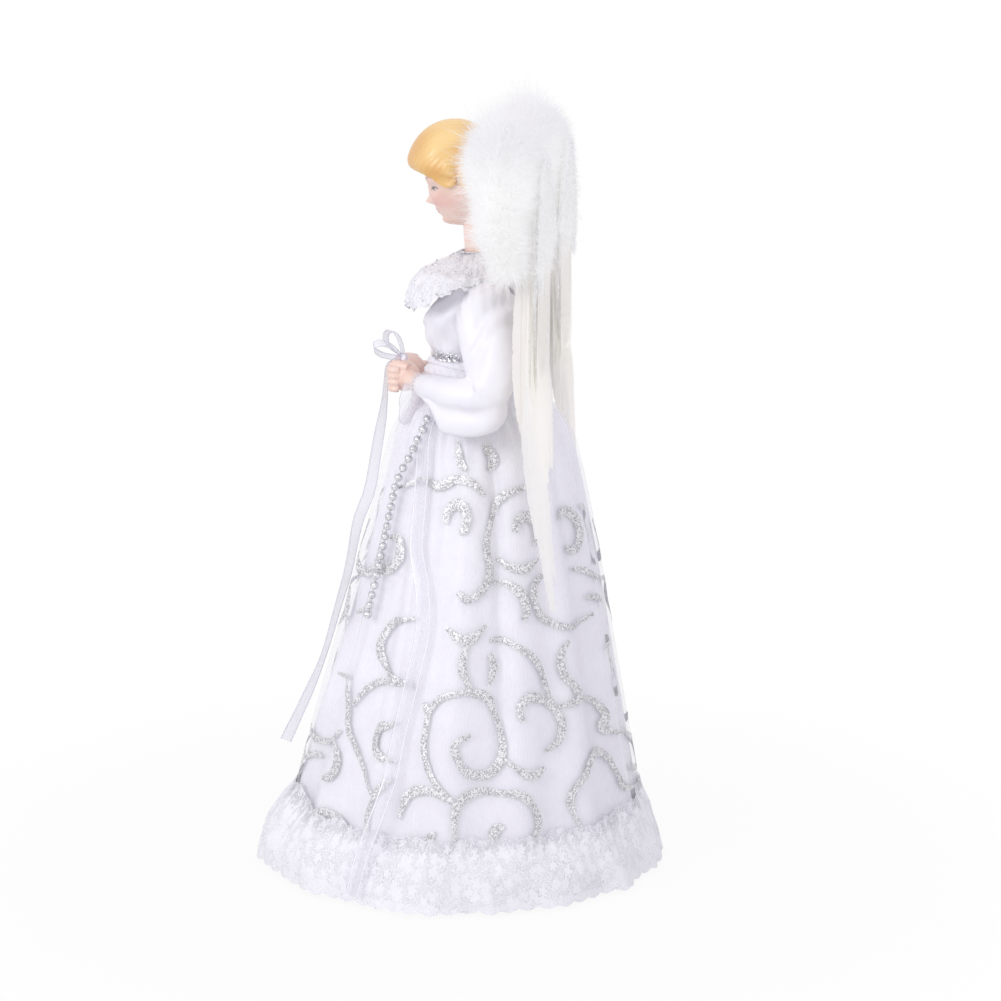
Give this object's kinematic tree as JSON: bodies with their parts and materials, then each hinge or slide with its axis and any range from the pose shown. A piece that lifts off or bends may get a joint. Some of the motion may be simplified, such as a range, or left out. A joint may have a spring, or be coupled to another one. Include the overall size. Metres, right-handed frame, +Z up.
{
  "type": "angel tree topper",
  "caption": "White angel tree topper with a hollow cone skirt for the treetop, feathered wings that fold back and arms on a shared wire holding a ribbon bow.",
  "frame": {"origin": "centre of the base on the surface the figure stands on", "axes": "+Z up along the figure, -Y the way the figure faces, +X towards the figure's left"},
  "size_m": [0.1628, 0.1627, 0.3055],
  "materials": {
    "card": "plain white-lined card",
    "moulding": "plain white moulding",
    "wood": "bare dowel",
    "stuffing": "wound padding",
    "satin": "white satin",
    "organza": "sheer white organza with silver glitter scrolls",
    "lace": "white net lace with silver thread",
    "silver_trim": "metallised silver",
    "casting": "painted casting, satin",
    "feathers": "white marabou and goose feathers",
    "wire": "soft drawn wire"
  },
  "bodies": {
    "figure": {"card_cone": "card", "base_rim": "moulding", "cone_cap": "wood", "spine_rod": "wood", "torso_core": "stuffing", "head_bust": "casting", "bodice": "satin", "collar_lace": "lace", "neckline_braid": "silver_trim", "sash": "satin", "waist_spray": "silver_trim", "underskirt": "satin", "overskirt": "organza", "hem_lace": "lace", "bead_strand": "silver_trim", "sash_tail": "organza", "wing_plate": "moulding"},
    "arms": {"armature_wire": "wire", "left_sleeve": "satin", "right_sleeve": "satin", "left_cuff": "lace", "right_cuff": "lace", "left_hand": "casting", "right_hand": "casting", "bow_knot": "organza", "bow_loop_left": "organza", "bow_loop_right": "organza", "bow_tail": "organza"},
    "left_wing": {"left_wing_wire": "wire", "left_wing_card": "card", "left_marabou": "feathers", "left_long_feather_1": "feathers", "left_long_feather_2": "feathers", "left_long_feather_3": "feathers", "left_long_feather_4": "feathers", "left_long_feather_5": "feathers", "left_long_feather_6": "feathers", "left_long_feather_7": "feathers", "left_short_feather_1": "feathers", "left_short_feather_2": "feathers", "left_short_feather_3": "feathers", "left_short_feather_4": "feathers"},
    "right_wing": {"right_wing_wire": "wire", "right_wing_card": "card", "right_marabou": "feathers", "right_long_feather_1": "feathers", "right_long_feather_2": "feathers", "right_long_feather_3": "feathers", "right_long_feather_4": "feathers", "right_long_feather_5": "feathers", "right_long_feather_6": "feathers", "right_long_feather_7": "feathers", "right_short_feather_1": "feathers", "right_short_feather_2": "feathers", "right_short_feather_3": "feathers", "right_short_feather_4": "feathers"}
  },
  "joints": [
    {"name": "arms_raise", "type": "hinge", "parent": "figure", "child": "arms", "pos_m": [0, 0.00925, 0.22805], "axis": [-1, 0, 0], "range_deg": [0, 18]},
    {"name": "left_wing_fold", "type": "hinge", "parent": "figure", "child": "left_wing", "pos_m": [0.007, 0.02443, 0.22155], "axis": [0, 0, 1], "range_deg": [0, 50]},
    {"name": "right_wing_fold", "type": "hinge", "parent": "figure", "child": "right_wing", "pos_m": [-0.007, 0.02443, 0.22155], "axis": [0, 0, -1], "range_deg": [0, 50]}
  ]
}
